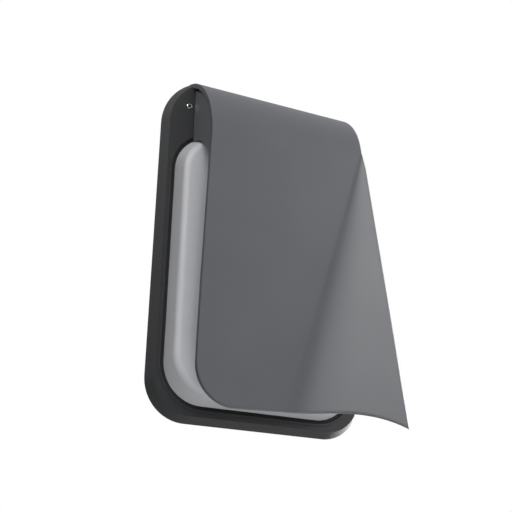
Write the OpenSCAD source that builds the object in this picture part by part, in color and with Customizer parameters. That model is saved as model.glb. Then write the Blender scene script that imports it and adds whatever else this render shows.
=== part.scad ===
// Outdoor wall light: a flat cast housing on a wall bracket, an opal diffuser, and a thick
// cast shade that rolls over the top and hangs in front, with its lower right corner
// flared outwards. Millimetres. +Z is up, -Y points out of the wall, the wall is y = 0.
// The origin is the middle of the two wall screw slots.

/* [Housing] */
// Width of the housing at the wall
body_w = 160; // [144:1:180]
// Height of the housing up to the roll of the shade
body_h = 244; // [218:1:270]
// Depth of the housing from the wall to its front face
body_d = 8.8; // [8.6:0.1:10]
// Radius of the lower corners of the housing outline
body_r = 28.6; // [26:0.5:32]
// Radius of the upper corners, which run up to the sides of the shade
body_top_r = 41; // [36:0.5:44]
// How far the sides lean in between the wall and the front face
body_draft = 4; // [2:0.5:5]
// Thickness of the housing's front skin
skin = 3; // [2.8:0.1:3.2]
// Thickness of the foam gasket behind the housing
gasket_t = 1.2; // [0.8:0.1:1.4]

/* [Head] */
// How far the sides of the head and shade lie inside the sides of the housing
head_margin = 19.8; // [18:0.2:21.4]
// Outer radius of the rolled top
roll_r = 61.2; // [60.6:0.1:63]
// How far the side cheeks lie inside the edge of the shade
cheek_inset = 1.6; // [1:0.1:2.4]
// Width of the slit between the top of a cheek and the roll
cheek_slit = 2; // [0.5:0.1:2.5]
// Wall thickness of the head casting
head_wall = 2.5; // [2:0.1:3]
// Thickness of the black seal between head and housing
head_seal_t = 2.4; // [1.6:0.1:2.6]

/* [Shade] */
// Thickness of the shade casting
shade_t = 3.5; // [3.2:0.1:4.4]
// How far each side edge of the shade spreads out towards the bottom
shade_spread = 2.2; // [0:0.2:3]
// How much narrower each side of the shade is at the front of the roll than at its rear
roll_waist = 2; // [0:0.2:2.4]
// Height of the lower edge above the bottom of the housing
shade_lift = 4.6; // [3:0.2:12]
// How much the lower edge climbs from left to right before the tip
edge_climb = 4.2; // [0:0.2:6]
// Radius of the rounded lower left corner
shade_corner_r = 27; // [18:1:34]
// How far the lower right tip stands out from the flat of the shade
flare_out = 42; // [20:1:50]
// How far the lower right tip hangs below that climbing edge
tip_drop = 13.2; // [2:0.2:15]
// Width of the flared part along the lower edge
flare_w = 64; // [50:1:80]

/* [Diffuser] */
// Gap between the diffuser outline and the edge of the housing at the wall
diffuser_margin = 10; // [9.5:0.5:11.5]
// Depth of the diffuser front from the wall
diffuser_front = 26.5; // [25:0.5:28]
// Radius of the soft front edge
diffuser_edge_r = 5; // [4:0.5:7]
// How much lower the top side of the diffuser lies at its front than at the housing
diffuser_lean = 7; // [5:0.5:8]
// How much higher the bottom side of the diffuser lies at its front than at the housing
diffuser_low_lean = 4; // [2:0.5:5]
// Corner radius of the diffuser outline
diffuser_r = 27.5; // [25:0.5:29]
// Wall thickness of the diffuser
diffuser_t = 2.4; // [2:0.1:3]

/* [Light source] */
// Gap between the side of the diffuser and the side of the diode board
board_side_gap = 19.5; // [18.5:0.5:26]
// Gap between the end of the diffuser and the end of the board
board_end_gap = 20; // [20:0.5:30]
// Thickness of the board
board_t = 1.6; // [1:0.1:2]
// Number of diodes across
led_cols = 5; // [3:1:6]
// Number of diodes in height
led_rows = 7; // [4:1:8]

/* [Wall bracket] */
// Thickness of the bracket sheet
bracket_t = 2; // [1.5:0.1:2.2]
// Width of the upright strap
strap_w = 56; // [44:1:58]
// Distance between the two wall screw slots
wall_screw_pitch = 120; // [90:1:130]
// Width of a wall screw slot
slot_w = 5; // [4:0.5:6]
// Length of a wall screw slot
slot_l = 12; // [8:0.5:16]
// Diameter of the hole that passes the supply cable
cable_hole_d = 22; // [16:1:26]

/* [Fasteners] */
// Head diameter of the two locking screws
lock_head_d = 4.2; // [4:0.1:4.8]
// Thread diameter of the screws
screw_d = 3; // [2.5:0.1:3]
// Gap round a screw in its hole
screw_gap = 0.2; // [0.1:0.05:0.3]
// Running gap of the locking screws in their nuts
thread_gap = 0.06; // [0.03:0.01:0.1]
// Bore of the rubber cable grommet
grommet_bore = 7; // [6:0.5:8]

/* [Hidden] */
$fn = 64;
eps = 0.01;
seat_gap = 0.2;
loose_gap = 0.5;

half_w = body_w / 2;
half_h = body_h / 2;
skin_back = body_d - skin;
rim_w = 5.5;
crown = 8.4;

// The roll of the shade is an arc about an axis parallel to X. The axis lies behind the
// wall, so that the roll meets the top of the housing at a shallow slope.
roll_back = 14;
roll_top_rise = 2.6;
roll_z = half_h + roll_top_rise - roll_r + 2.0;
roll_in = roll_r - shade_t;
head_r = roll_in - seat_gap;
flat_front = roll_r - roll_back;
flat_back = flat_front - shade_t;
shade_rear = 1;
shade_bite = shade_t - 1.1;
head_w = body_w - 2 * head_margin;
half_head = head_w / 2;
cheek_x = half_head - cheek_inset;
head_back = body_d + head_seal_t;

// The outline of the diffuser.
diff_half_w = half_w - diffuser_margin;
diff_z0 = -half_h + diffuser_margin + 1.2;
diff_top_margin = 41;
diff_z1 = half_h - diff_top_margin;
diff_zc = (diff_z0 + diff_z1) / 2;
diff_h = diff_z1 - diff_z0;
groove_d = 1;
ring_w = 2.6;
lip_w = 1.5;
lip_rise = 0.5;
diff_seal_t = 0.5;
diff_back = body_d - groove_d + diff_seal_t;
edge_start = diffuser_front - diffuser_edge_r;
lean_slope = diffuser_lean / (diffuser_front - diff_back);
function lean(d) = lean_slope * (d - diff_back);
function low_lean(d) = diffuser_low_lean * (d - diff_back) / (diffuser_front - diff_back);

// The gear space behind the head.
gear_half = half_head - 16.2;
gear_z0 = diff_z1 + 4.2;
gear_z1 = half_h - 10;
gear_h = 17;
gear_mid = gear_z0 + 1.5 + gear_h / 2;
cover_t = 1.2;
cover_seal_t = skin_back - 4.9 < 0.5 ? 0.5 : skin_back - 4.9;
cover_front = skin_back - cover_seal_t;
cover_back = cover_front - cover_t;
boss_r = 3.4;
head_screw_x = cheek_x - head_wall - boss_r + 1;
head_screw_z = [diff_z1 + boss_r, half_h - 18];
cover_half = head_screw_x + 3.6;
cover_z0 = diff_z1 - 3.2;
cover_z1 = half_h - 13;

// The locking screws stand beside the head, near the upper corners.
lock_x = half_head + 1.6;
lock_z = half_h - 18.4;
lock_head_t = 1.6;
lock_sink = 1.2;
lock_seat = body_d - lock_sink;
socket_flat = 2.4;
socket_depth = 1.1;
nut_r = 3.6;
nut_d = skin_back - bracket_t - loose_gap;

// The board and what is on it.
board_w = 2 * (diff_half_w - board_side_gap);
board_h = diff_h - 2 * board_end_gap;
board_zc = diff_zc;
board_front = body_d + board_t;
led_w = 3.5;
led_t = 0.8;
lead_x = 18;
lead_r = 0.8;
lead_z = board_zc + board_h / 2 - 8;
channel_front = body_d - groove_d - 0.5;
lead_d = channel_front - seat_gap - lead_r;
channel_half = 1.6;
plug_size = [9, 3.4, 6];

// The tongue of the gear cover closes the channel of the diode lead.
tongue_w = 20;
tongue_z0 = lead_z - 6.5;

// The upright of the bracket.
arm_r = 7;
strap_z0 = -half_h + 24;
pin_x = 18;
pin_z = strap_z0 + 9;
pin_r = 2.5;

// Draws a flat shape in X and Z as a layer between two depths from the wall.
module layer(d0, d1) {
  translate([0, -d0, 0]) rotate([90, 0, 0]) linear_extrude(height = d1 - d0) children();
}

// Draws a side profile, in Y and Z, as a bar between two places along X.
module along_x(x0, x1) {
  translate([x0, 0, 0]) rotate([90, 0, 90]) linear_extrude(height = x1 - x0) children();
}

// A round rod that points out of the wall between two depths.
module rod(x, z, d0, d1, r) {
  translate([x, -d0, z]) rotate([90, 0, 0]) cylinder(r = r, h = d1 - d0);
}

// A flat rectangle with round corners, made of squares and circles.
module round_rect(w, h, r) {
  square([w - 2 * r, h], center = true);
  square([w, h - 2 * r], center = true);
  for (sx = [-1, 1], sz = [-1, 1])
    translate([sx * (w / 2 - r), sz * (h / 2 - r)]) circle(r = r);
}

// A rounded slab between two depths whose outline shrinks evenly by lean.
module leaning_slab(w, h, r, d0, d1, lean) {
  t = d1 - d0;
  for (sx = [-1, 1], sz = [-1, 1])
    translate([sx * (w / 2 - r), -d0, sz * (h / 2 - r)]) rotate([90, 0, 0])
      cylinder(r1 = r, r2 = r - lean, h = t);
  along_x(-w / 2 + r, w / 2 - r)
    polygon([[-d0, -h / 2], [-d0, h / 2], [-d1, h / 2 - lean], [-d1, -h / 2 + lean]]);
  translate([0, 0, -h / 2 + r]) linear_extrude(height = h - 2 * r)
    polygon([[-w / 2, -d0], [w / 2, -d0], [w / 2 - lean, -d1], [-w / 2 + lean, -d1]]);
}

// The outline of the housing, drawn in by inset. Its top runs on above body_h by crown,
// because the shade covers the middle of it.
module body_outline(inset) {
  intersection() {
    round_rect(body_w - 2 * inset, body_h - 2 * inset, body_r - inset);
    translate([-body_w, -body_h]) square([2 * body_w, body_h]);
  }
  intersection() {
    round_rect(body_w - 2 * inset, body_h + 2 * crown - 2 * inset, body_top_r - inset);
    translate([-body_w, -eps]) square([2 * body_w, body_h]);
  }
}

// The outline of the diffuser's foot, drawn out by grow.
module diffuser_outline(grow) {
  translate([0, diff_zc])
    round_rect(2 * (diff_half_w + grow), diff_h + 2 * grow, diffuser_r + grow);
}

// The leaning block of the housing, with the same outline.
module body_block(d0, d1) {
  intersection() {
    leaning_slab(body_w, body_h, body_r, d0, d1, body_draft);
    translate([-body_w, -body_h, -body_h]) cube([2 * body_w, 2 * body_h, body_h]);
  }
  intersection() {
    leaning_slab(body_w, body_h + 2 * crown, body_top_r, d0, d1, body_draft);
    translate([-body_w, -body_h, -eps]) cube([2 * body_w, 2 * body_h, body_h]);
  }
}

// A screw along the wall's normal: shank between two depths, head in front or behind.
module screw(x, z, head_at, head_t, tip_at, head_r) {
  rod(x, z, min(head_at, head_at + head_t), max(head_at, head_at + head_t), head_r);
  rod(x, z, min(tip_at, head_at), max(tip_at, head_at), screw_d / 2);
}

boss_in = 5;
function head_screw_places() =
  [for (sx = [-1, 1], z = head_screw_z) [sx * head_screw_x, z]];
function diffuser_screw_places() =
  [for (sx = [-1, 1]) each [[sx * (diff_half_w - boss_in), diff_z1 - 42],
    [sx * (diff_half_w - boss_in), diff_z0 + 52], [sx * diff_half_w / 2, diff_z0 + boss_in + 1]]];
function board_screw_places() =
  [for (sx = [-1, 1], sz = [-1, 0, 1])
    [sx * (board_w / 2 - 5), board_zc + sz * (board_h / 2 - 18)]];

// The side profile that the rolled top leaves free, out to a radius.
module under_roll(r) {
  translate([roll_back, roll_z]) circle(r = r, $fn = 180);
}

module wall_bracket() {
  color([0.72, 0.73, 0.74])
  difference() {
    layer(0, bracket_t) union() {
      translate([-strap_w / 2, strap_z0]) square([strap_w, lock_z - strap_z0]);
      translate([-lock_x, lock_z - arm_r]) square([2 * lock_x, 2 * arm_r]);
      for (sx = [-1, 1]) translate([sx * lock_x, lock_z]) circle(r = arm_r);
    }
    for (sz = [-1, 1]) translate([0, 0, sz * wall_screw_pitch / 2])
      layer(-1, bracket_t + 1) union() {
        square([slot_w, slot_l - slot_w], center = true);
        for (e = [-1, 1]) translate([0, e * (slot_l - slot_w) / 2]) circle(d = slot_w);
      }
    rod(0, 0, -1, bracket_t + 1, cable_hole_d / 2);
    for (sx = [-1, 1]) {
      rod(sx * lock_x, lock_z, -1, bracket_t + 1, screw_d / 2 + screw_gap);
      rod(sx * pin_x, pin_z, -1, bracket_t + 1, pin_r - 1);
    }
    rod(-strap_w / 4, earth_z(), -1, bracket_t + 1, screw_d / 2);
  }
}
function earth_z() = 26;

module clinch_nuts() {
  color([0.8, 0.8, 0.78])
  for (sx = [-1, 1]) difference() {
    rod(sx * lock_x, lock_z, bracket_t, bracket_t + nut_d, nut_r);
    rod(sx * lock_x, lock_z, 0, bracket_t + nut_d + 1, screw_d / 2 + thread_gap);
  }
}

module locating_pins() {
  color([0.78, 0.78, 0.76])
  for (sx = [-1, 1]) {
    rod(sx * pin_x, pin_z, 0, bracket_t, pin_r - 1);
    rod(sx * pin_x, pin_z, bracket_t, skin_back + 1.4, pin_r);
  }
}

module bracket_earth_screw() {
  color([0.8, 0.68, 0.35]) {
    rod(-strap_w / 4, earth_z(), 0, bracket_t, screw_d / 2);
    difference() {
      rod(-strap_w / 4, earth_z(), bracket_t, bracket_t + 2.2, 3.4);
      translate([-strap_w / 4, -bracket_t - 2, earth_z()]) cube([8, 1, 0.9], center = true);
    }
  }
}

module housing() {
  color([0.23, 0.24, 0.25])
  difference() {
    union() {
      difference() {
        body_block(gasket_t, body_d);
        layer(0, skin_back) intersection() {
          body_outline(rim_w);
          translate([-half_w, -half_h]) square([body_w, body_h - rim_w]);
        }
      }
      for (p = diffuser_screw_places()) rod(p.x, p.y, skin_back - 0.8, body_d - eps, 4);
      diffuser_lip();
    }
    // The roll of the shade lies on the top edge.
    difference() {
      translate([-half_head - loose_gap, -body_d - 1, roll_z])
        cube([head_w + 2 * loose_gap, body_d + 2, roll_r * 2]);
      along_x(-half_head - 1, half_head + 1) under_roll(head_r);
    }
    // The opening into the head.
    translate([-gear_half, -body_d - 1, gear_z0]) cube([2 * gear_half, skin + 2, gear_z1 - gear_z0]);
    // The channel of the diode lead, and its hole into the light chamber.
    translate([lead_x - channel_half, -channel_front, lead_z - channel_half])
      cube([2 * channel_half, channel_front - skin_back + 1, gear_z0 - lead_z + 2]);
    rod(lead_x, lead_z, skin_back, body_d + 1, channel_half);
    // The groove that takes the black seal and the foot of the diffuser.
    difference() {
      layer(body_d - groove_d, body_d + 1) diffuser_outline(ring_w);
      layer(body_d - groove_d - 1, body_d + 2) diffuser_outline(-diffuser_t - loose_gap);
    }
    for (p = diffuser_screw_places()) rod(p.x, p.y, 0, body_d + 1, screw_d / 2 + screw_gap);
    for (p = head_screw_places()) rod(p.x, p.y, 0, body_d + 1, screw_d / 2 + screw_gap);
    for (p = board_screw_places())
      rod(p.x, p.y, skin_back + 0.8, body_d + 1, screw_d / 2 + screw_gap / 2);
    for (sx = [-1, 1]) {
      rod(sx * lock_x, lock_z, 0, body_d + 1, screw_d / 2 + screw_gap);
      rod(sx * lock_x, lock_z, lock_seat, body_d + 1, lock_head_d / 2 + loose_gap);
      rod(sx * pin_x, pin_z, 0, skin_back + 1.8, pin_r + 0.3);
    }
  }
}

// A low rim on the front face round the black seal. It stops at the head.
module diffuser_lip() {
  difference() {
    layer(body_d - eps, body_d + lip_rise) diffuser_outline(ring_w + lip_w);
    layer(body_d - 1, body_d + 1) diffuser_outline(ring_w);
    translate([-cheek_x, -body_d - 2, diff_z1 + 0.4]) cube([2 * cheek_x, 3, half_h]);
  }
}

module wall_gasket() {
  color([0.1, 0.1, 0.1])
  difference() {
    layer(0, gasket_t) body_outline(0.5);
    layer(-1, gasket_t + 1) intersection() {
      body_outline(4.5);
      translate([-half_w, -half_h]) square([body_w, body_h - 4.5]);
    }
    difference() {
      translate([-half_head - loose_gap, -body_d, roll_z])
        cube([head_w + 2 * loose_gap, body_d + 1, roll_r * 2]);
      along_x(-half_head - 1, half_head + 1) under_roll(head_r);
    }
  }
}

module head_seal() {
  inset = 1;
  color([0.05, 0.05, 0.05])
  difference() {
    intersection() {
      translate([-cheek_x + inset, -head_back, diff_z1 + 0.8])
        cube([2 * (cheek_x - inset), head_seal_t, half_h - diff_z1]);
      along_x(-cheek_x, cheek_x) under_roll(head_r - inset);
    }
    translate([-gear_half, -head_back - 1, gear_z0]) cube([2 * gear_half, 5, gear_z1 - gear_z0]);
    for (p = head_screw_places()) rod(p.x, p.y, 0, head_back + 1, screw_d / 2 + screw_gap);
  }
}

// Points on the underside of the roll, from a depth near the wall round to its front.
// A drop lowers its top.
function roll_arc(r, rear, drop = 0) = let (steps = 16, a0 = acos((roll_back + rear) / r))
  [for (k = [0:steps]) let (a = a0 * (1 - k / steps))
    [roll_back - r * cos(a), roll_z + (r - drop) * sin(a)]];

// The underside of the head is an arch about an axis behind the wall.
arch_back = 3;
arch_reach = 6.5;
arch_r = head_r - roll_back + arch_back + arch_reach;
cheek_low = 5.4;
cheek_arch_z = diff_z1 - cheek_low - sqrt(arch_r * arch_r - pow(arch_back + head_back, 2));
under_gap = 0.8;
arch_start = diffuser_front + 1;
function arch(z, r, d0, d1) = let (steps = 14)
  [for (k = [0:steps]) let (d = d0 + (d1 - d0) * k / steps)
    [-d, z + sqrt(r * r - (arch_back + d) * (arch_back + d))]];

// The side profile of the head between its cheeks: under the roll, in front of the housing,
// with an underside that slopes with the diffuser and then runs down to the shade.
module head_profile(r, grow, rear) {
  slope_end = diff_z1 + under_gap - lean(arch_start);
  middle_arch_z = slope_end - sqrt(arch_r * arch_r - pow(arch_back + arch_start, 2));
  polygon(concat(roll_arc(r, rear), arch(middle_arch_z, arch_r + grow, r - roll_back, arch_start),
    [[-rear, diff_z1 + under_gap - lean(rear) + grow]]));
}

// A cheek reaches lower than the middle, with a round lower edge, and leaves a dark slit
// under the roll.
module cheek() {
  polygon(concat(roll_arc(head_r, head_back, cheek_slit),
    arch(cheek_arch_z, arch_r, head_r - roll_back, head_back)));
}

// The room that the diffuser takes, with its sloping top.
module diffuser_room() {
  gap = under_gap - 0.1;
  translate([0, -diff_back, diff_z1 + gap]) rotate([atan(lean_slope), 0, 0])
    translate([0, 0, -diff_z1 - gap])
      layer(0, (diffuser_front + 3 - diff_back) / cos(atan(lean_slope))) diffuser_outline(gap);
}

module head_casting() {
  inner_x = cheek_x - head_wall;
  color([0.25, 0.26, 0.27])
  difference() {
    union() {
      difference() {
        along_x(-inner_x, inner_x) head_profile(head_r, 0, head_back);
        along_x(-inner_x - 1, inner_x + 1) head_profile(head_r - head_wall, head_wall, head_back - 1);
      }
      for (x = [-cheek_x, inner_x]) along_x(x, x + head_wall) cheek();
      for (p = head_screw_places()) rod(p.x, p.y, head_back, head_back + 8, boss_r);
    }
    diffuser_room();
    for (p = head_screw_places()) rod(p.x, p.y, 0, head_back + 7, screw_d / 2 + screw_gap / 2);
    for (p = shade_screw_places()) radial_rod(p, head_r - head_wall - 2, roll_in, screw_d / 2 + screw_gap);
  }
}

// The shade screws stand square to the roll: [x, angle above the horizontal].
upper_screw_depth = head_back + 6.5;
upper_screw_angle = acos((roll_back + upper_screw_depth) / (head_r - head_wall));
function shade_screw_places() =
  [for (sx = [-1, 1], a = [14, upper_screw_angle]) [sx * (gear_half - 4), a]];

module radial_rod(p, r0, r1, r) {
  translate([p.x, roll_back, roll_z]) rotate([90 - p.y, 0, 0])
    translate([0, 0, r0]) cylinder(r = r, h = r1 - r0);
}

// Outer face of the shade. u runs from the left edge to the right edge, and v from the
// rear of the roll (0) over the roll (1) to the lower edge (2).
shade_cols = 34;
shade_corner_cols = 10;
shade_roll_rows = 12;
shade_flat_rows = 22;
shade_span = roll_z + half_h - shade_lift;
shade_low_w = head_w + 2 * shade_spread;
roll_end = acos((roll_back + shade_rear) / roll_r);
roll_length = roll_r * roll_end * PI / 180;
flare_rise = 14;
tip_w = 44;

// Column places are closer together in the rounded corner, at equal angles round it.
function col_u(i) = i <= shade_corner_cols
  ? shade_corner_r * (1 - cos(90 * i / shade_corner_cols)) / shade_low_w
  : let (u0 = shade_corner_r / shade_low_w)
    u0 + (1 - u0) * (i - shade_corner_cols) / (shade_cols - shade_corner_cols);
function smooth_rise(t) = t <= 0 ? 0 : t * t * (1.5 - 0.5 * t);
function smooth_step(t) = t * t * (3 - 2 * t);
// Height of the lower edge, below the roll's axis, for a place u across the shade.
function edge_drop(u) = let (x = u * shade_low_w, c = shade_corner_r)
  shade_span
  - (x < c ? c - sqrt(max(0, c * c - (c - x) * (c - x))) : 0)
  - edge_climb * max(0, x - c) / (shade_low_w - c)
  + tip_drop * pow(max(0, (x - shade_low_w + tip_w) / tip_w), 3);
// The sides draw in by the waist round the roll. Below it the left edge spreads out all the
// way, and the right edge spreads, and the flare grows, from a place flare_rise above the
// end of the roll: down is the way from it.
function waist(drop) = roll_waist * (1 - smooth_step(min(1, max(0, -drop / roll_r))));
function left_half(along, drop) = half_head - waist(drop)
  + (shade_spread + roll_waist) * smooth_step(min(1, along / (roll_length + shade_span)));
function share(drop) = max(0, (drop + flare_rise) / (shade_span + flare_rise));
function right_half(drop) = half_head - waist(drop) + (shade_spread + roll_waist) * share(drop);
function flare_at(x, drop) = let (k = share(drop),
    start = half_head - roll_waist - (flare_w - shade_spread - roll_waist) * k)
  k <= 0 ? 0 : flare_out * k * smooth_rise((x - start) / (right_half(drop) - start));
function across(u, along, drop) =
  -left_half(along, drop) + u * (left_half(along, drop) + right_half(drop));
function face_point(u, v) = v <= 1
  ? let (a = roll_end * (1 - v), drop = -roll_r * sin(a), x = across(u, roll_length * v, drop))
    [x, roll_back - roll_r * cos(a) - flare_at(x, drop), roll_z - drop]
  : let (drop = edge_drop(u) * (v - 1), x = across(u, roll_length + drop, drop))
    [x, roll_back - roll_r - flare_at(x, drop), roll_z - drop];
function unit(v) = v / norm(v);
function face_normal(u, v) = let (s = 0.002,
    a = face_point(u + s, v) - face_point(u - s, v),
    b = v < 1 ? face_point(u, v + s) - face_point(u, v) : face_point(u, v) - face_point(u, v - s))
  unit(cross(b, a));

module shade() {
  rows = shade_roll_rows + shade_flat_rows;
  cols = shade_cols;
  row_v = [for (j = [0:rows]) j <= shade_roll_rows ? j / shade_roll_rows
    : 1 + (j - shade_roll_rows) / shade_flat_rows];
  outer = [for (j = [0:rows], i = [0:cols]) face_point(col_u(i), row_v[j])];
  inner = [for (j = [0:rows], i = [0:cols])
    face_point(col_u(i), row_v[j]) - shade_t * face_normal(col_u(i), row_v[j])];
  n = cols + 1;
  m = n * (rows + 1);
  faces = [
    for (j = [0:rows - 1], i = [0:cols - 1]) each let (p = j * n + i) [
      [p, p + 1, p + n + 1], [p, p + n + 1, p + n],
      [m + p, m + p + n + 1, m + p + 1], [m + p, m + p + n, m + p + n + 1]],
    for (i = [0:cols - 1]) each let (q = rows * n + i) [
      [i, m + i, m + i + 1], [i, m + i + 1, i + 1],
      [q, q + 1, m + q + 1], [q, m + q + 1, m + q]],
    for (j = [0:rows - 1]) each let (p = j * n, q = j * n + cols) [
      [p, p + n, m + p + n], [p, m + p + n, m + p],
      [q, m + q, m + q + n], [q, m + q + n, q + n]]];
  color([0.33, 0.34, 0.35])
  difference() {
    polyhedron(points = concat(outer, inner), faces = faces, convexity = 4);
    for (p = shade_screw_places()) radial_rod(p, roll_in - 1, roll_in + shade_bite, screw_d / 2 + 0.05);
  }
}

module shade_screws() {
  color([0.75, 0.75, 0.75])
  for (p = shade_screw_places()) {
    radial_rod(p, head_r - head_wall - 2.2, head_r - head_wall - seat_gap, 2.75);
    radial_rod(p, head_r - head_wall - seat_gap, roll_in + shade_bite - 0.2, screw_d / 2);
  }
}

module cover_shape(grow) {
  translate([0, (cover_z0 + cover_z1) / 2])
    square([2 * (cover_half + grow), cover_z1 - cover_z0 + 2 * grow], center = true);
  translate([lead_x - tongue_w / 2 - grow, tongue_z0 - grow])
    square([tongue_w + 2 * grow, cover_z0 - tongue_z0 + 8]);
}

grommet_x = -gear_half + 8;
grommet_z = gear_mid - 3;
grommet_r = 5.6;
lug_x = grommet_x;
lug_r = 2.3;
lug_z = grommet_z + grommet_r + 1.5 + lug_r;

module gear_cover() {
  color([0.7, 0.71, 0.72])
  difference() {
    layer(cover_back, cover_front) cover_shape(0);
    for (p = head_screw_places()) rod(p.x, p.y, 0, body_d, screw_d / 2 + screw_gap);
    for (x = driver_screw_x()) rod(x, gear_mid, 0, body_d, screw_d / 2 + screw_gap);
    rod(grommet_x, grommet_z, 0, body_d, grommet_r);
    rod(lug_x, lug_z, 0, body_d, screw_d / 2);
  }
}

module gear_cover_seal() {
  wall = 4;
  color([0.12, 0.12, 0.12])
  difference() {
    layer(cover_front, skin_back) cover_shape(-0.4);
    layer(0, body_d) difference() {
      cover_shape(-wall);
      for (p = head_screw_places()) translate(p) circle(r = boss_r + 1.2);
    }
    for (p = head_screw_places()) rod(p.x, p.y, 0, body_d, screw_d / 2 + screw_gap);
  }
}

module head_screws() {
  color([0.75, 0.75, 0.75])
  for (p = head_screw_places())
    screw(p.x, p.y, cover_back, -1, head_back + 6.6, 2.75);
}

module cable_grommet() {
  color([0.08, 0.08, 0.08])
  difference() {
    union() {
      rod(grommet_x, grommet_z, cover_back - 0.9, cover_back, grommet_r + 1.3);
      rod(grommet_x, grommet_z, cover_back, cover_front, grommet_r);
      rod(grommet_x, grommet_z, cover_front, cover_front + 2.2, grommet_r + 1.3);
    }
    rod(grommet_x, grommet_z, 0, body_d + 5, grommet_bore / 2);
  }
}

block_x0 = grommet_x + 9;
block_x1 = block_x0 + 12;
block_d = 13;
driver_x0 = block_x1 + 7;
driver_x1 = gear_half - 2;
driver_d = 17;
function driver_screw_x() = [driver_x0 + 4, driver_x1 - 4];

module driver() {
  color([0.9, 0.9, 0.88])
  difference() {
    union() {
      translate([driver_x0 + 8, -cover_front - driver_d, gear_mid - gear_h / 2])
        cube([driver_x1 - driver_x0 - 16, driver_d, gear_h]);
      translate([driver_x0, -cover_front - 4, gear_mid - gear_h / 2])
        cube([driver_x1 - driver_x0, 4, gear_h]);
    }
    for (x = driver_screw_x()) rod(x, gear_mid, 0, cover_front + 3.2, screw_d / 2 + 0.05);
  }
}

module driver_screws() {
  color([0.75, 0.75, 0.75])
  for (x = driver_screw_x()) screw(x, gear_mid, cover_back, -1, cover_front + 3, 2.75);
}

pole_pitch = 5.6;
function pole_z(i) = gear_mid + (i - 1) * pole_pitch;

module terminal_block() {
  color([0.93, 0.93, 0.9])
  difference() {
    translate([block_x0, -cover_front - block_d, gear_mid - gear_h / 2])
      cube([block_x1 - block_x0, block_d, gear_h]);
    for (i = [0:2]) {
      rod((block_x0 + block_x1) / 2, pole_z(i), cover_front + 5, cover_front + block_d + 1, 2);
      translate([block_x0 - 1, -cover_front - 4.2, pole_z(i)]) rotate([0, 90, 0])
        cylinder(r = 1.3, h = 4);
    }
  }
}

module terminal_screws() {
  color([0.8, 0.68, 0.35])
  for (i = [0:2]) difference() {
    rod((block_x0 + block_x1) / 2, pole_z(i), cover_front + 5, cover_front + block_d - 2, 1.9);
    translate([(block_x0 + block_x1) / 2, -cover_front - block_d + 2, pole_z(i)])
      cube([6, 1.4, 0.7], center = true);
  }
}

module supply_leads() {
  lead_gauge = 1;
  color([0.35, 0.2, 0.12])
  for (i = [0, 1]) translate([block_x1, -cover_front - 2, pole_z(i)]) rotate([0, 90, 0])
    cylinder(r = lead_gauge, h = driver_x0 - block_x1);
}

module earth_screw() {
  color([0.8, 0.68, 0.35]) {
    rod(lug_x, lug_z, cover_back - 0.6, cover_front, screw_d / 2 - 0.02);
    rod(lug_x, lug_z, cover_front, cover_front + 2, lug_r);
  }
}

// The earth lead runs from the screw on the cover to the side of the block.
module earth_lead() {
  r = 0.9;
  start = lug_x + lug_r;
  color([0.45, 0.6, 0.2])
  translate([start, -cover_front - 1, lug_z - 0.9]) rotate([0, 90, 0]) cylinder(r = r, h = block_x0 - start);
}

module led_lead() {
  bend = 2;
  fore = lead_d + bend;
  color([0.85, 0.85, 0.82]) {
    translate([lead_x, -lead_d, lead_z + bend]) cylinder(r = lead_r, h = gear_mid - gear_h / 2 - lead_z - bend);
    translate([lead_x, -lead_d - bend, lead_z + bend]) rotate([0, 90, 0])
      intersection() {
        rotate_extrude() translate([bend, 0]) circle(r = lead_r, $fn = 32);
        translate([0, 0, -2]) cube([4, 4, 4]);
      }
    rod(lead_x, lead_z, fore, board_front + 0.6, lead_r);
  }
}

// The black seal lies under the foot of the diffuser and shows as a ring round it.
module diffuser_seal() {
  color([0.06, 0.06, 0.06])
  difference() {
    layer(body_d - groove_d, diff_back) diffuser_outline(ring_w - 0.1);
    layer(0, diff_back + 1) diffuser_outline(-diffuser_t);
  }
}

// One ring of the diffuser's outline at a depth, drawn in by inset. Its top and bottom
// sides lean.
ring_steps = 10;
function ring(inset, d) = let (w = diff_half_w - inset, r = max(1, diffuser_r - inset),
    top = diff_z1 - inset - lean(d), low = diff_z0 + inset + low_lean(d))
  [for (q = [0:3], k = [0:ring_steps]) let (a = 90 * (q + k / ring_steps),
      cx = (q == 0 || q == 3 ? 1 : -1) * (w - r), cz = q < 2 ? top - r : low + r)
    [cx + r * cos(a), -d, cz + r * sin(a)]];

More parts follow.
